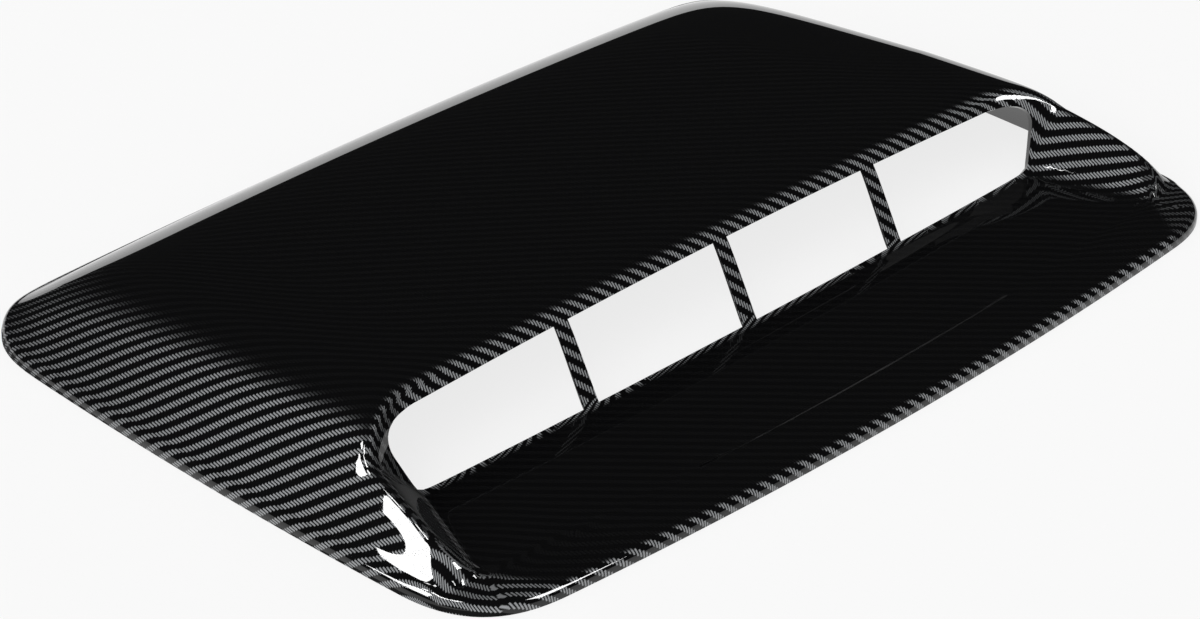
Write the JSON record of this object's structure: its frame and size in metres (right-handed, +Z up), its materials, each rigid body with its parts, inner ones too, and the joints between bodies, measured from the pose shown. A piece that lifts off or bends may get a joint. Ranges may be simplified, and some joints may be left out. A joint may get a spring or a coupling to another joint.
{
  "type": "bonnet scoop",
  "caption": "Low stick-on bonnet scoop: a domed shell on a flat rounded rim, with a wide mouth behind a flat front floor, split into windows by slim ribs.",
  "frame": {"origin": "middle of the base, on the plane of the bonding land", "axes": "+X across the car, -Y toward the mouth and the front, +Y toward the windscreen, +Z up from the bonnet"},
  "size_m": [0.34, 0.2392, 0.0321],
  "materials": {
    "woven_gloss": "black plastic with a printed silver-grey twill weave under a clear gloss coat"
  },
  "bodies": {
    "root": {"scoop_shell": "woven_gloss"}
  },
  "joints": []
}
